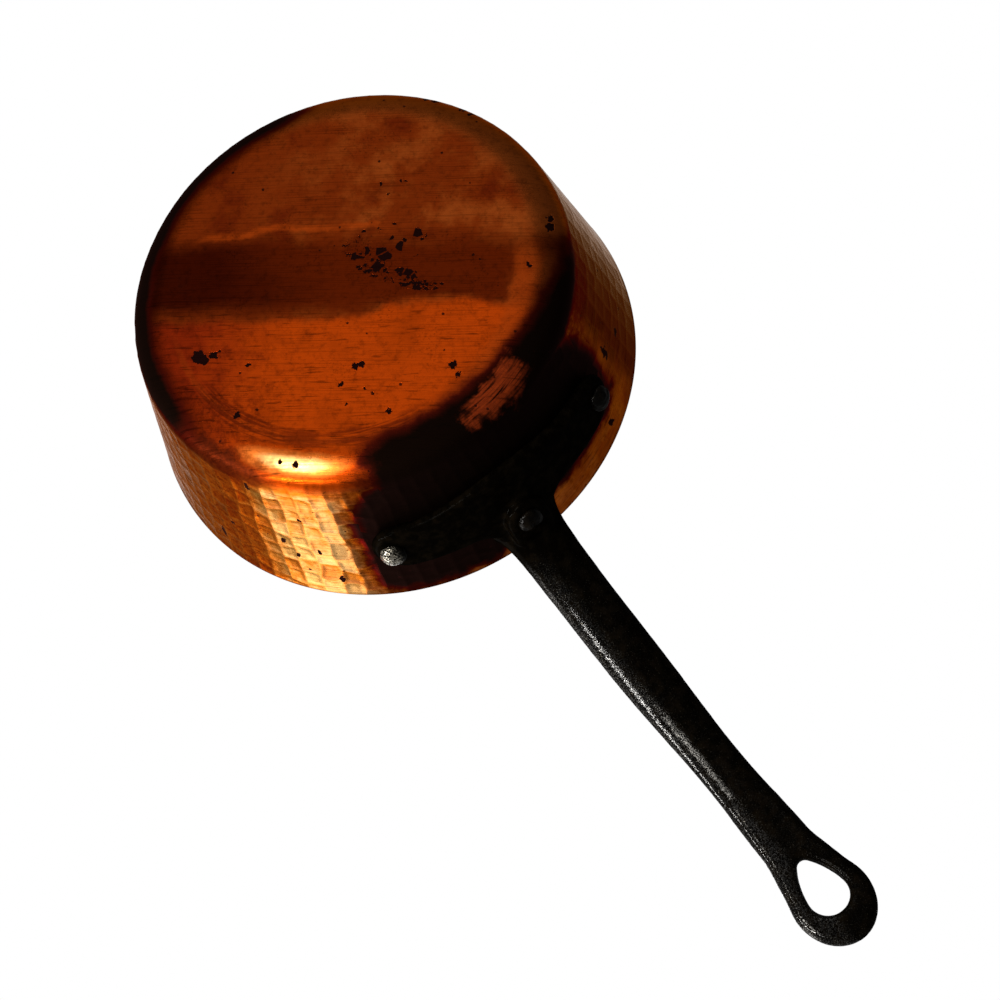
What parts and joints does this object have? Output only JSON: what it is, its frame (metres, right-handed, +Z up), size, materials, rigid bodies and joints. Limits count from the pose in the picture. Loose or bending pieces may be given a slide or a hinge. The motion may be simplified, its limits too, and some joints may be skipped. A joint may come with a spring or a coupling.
{
  "type": "copper jam pan",
  "caption": "Round hammered copper pan with a flat base and flared wall, carried by a long cast iron handle that is riveted to the wall and ends in a hanging ring.",
  "frame": {"origin": "centre of the flat base's underside", "axes": "+Z up out of the pan's mouth, +X along the handle, +Y to the left of the handle seen from above with the handle pointing away"},
  "size_m": [0.3932, 0.1996, 0.0995],
  "materials": {
    "copper": "hammered copper with an orange-brown patina",
    "handle_iron": "black as-cast grain, rubbed bright on the raised parts",
    "rivet_iron": "worn domed iron"
  },
  "bodies": {
    "root": {"pan_body": "copper", "handle": "handle_iron", "rivet_left": "rivet_iron", "rivet_centre": "rivet_iron", "rivet_right": "rivet_iron"}
  },
  "joints": []
}
